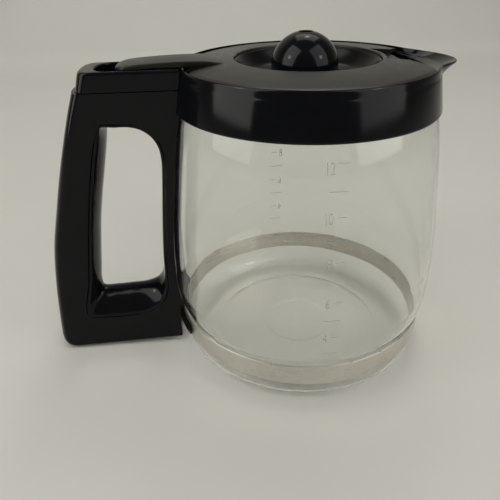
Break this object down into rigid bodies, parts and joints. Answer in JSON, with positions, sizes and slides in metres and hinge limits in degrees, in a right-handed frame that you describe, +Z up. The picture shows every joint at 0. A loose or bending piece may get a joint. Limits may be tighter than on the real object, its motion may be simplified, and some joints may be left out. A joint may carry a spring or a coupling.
{
  "type": "coffee carafe",
  "caption": "Glass coffee carafe with a black closed-loop handle, a collar with a pouring lip, a steel base band and a hinged brew-through lid with a thumb tab.",
  "frame": {"origin": "centre of the jar's flat base, on the surface that the carafe stands on", "axes": "+Z up, +X from the jar's centre to the pouring lip, so that the handle is on the -X side, +Y completing a right-handed frame"},
  "size_m": [0.2137, 0.1432, 0.1684],
  "materials": {
    "glass": "clear thin blown glass with a faint green-grey tint at its edges",
    "gloss_black": "glossy near-black moulded plastic",
    "satin_black": "satin black moulded plastic",
    "band_steel": "steel strip brushed around the jar",
    "screw_steel": "plain zinc-plated steel fixings",
    "seal_rubber": "matte dark rubber"
  },
  "bodies": {
    "carafe": {"glass_jar": "glass", "jar_band": "band_steel", "band_bracket": "gloss_black", "band_screw": "screw_steel", "band_nut": "screw_steel", "collar": "gloss_black", "collar_seal": "seal_rubber", "collar_screw_left": "screw_steel", "collar_screw_right": "screw_steel", "handle_body": "gloss_black", "handle_liner": "satin_black", "handle_bridge": "gloss_black", "hinge_pin": "screw_steel"},
    "lid": {"lid_cover": "satin_black", "lid_dish": "satin_black", "lid_knob": "gloss_black", "lid_underside": "satin_black", "lid_screw_1": "screw_steel", "lid_screw_2": "screw_steel", "lid_screw_3": "screw_steel"}
  },
  "joints": [
    {"name": "lid_hinge", "type": "hinge", "parent": "carafe", "child": "lid", "pos_m": [-0.068, 0, 0.15], "axis": [0, -1, 0], "range_deg": [0, 50]}
  ]
}
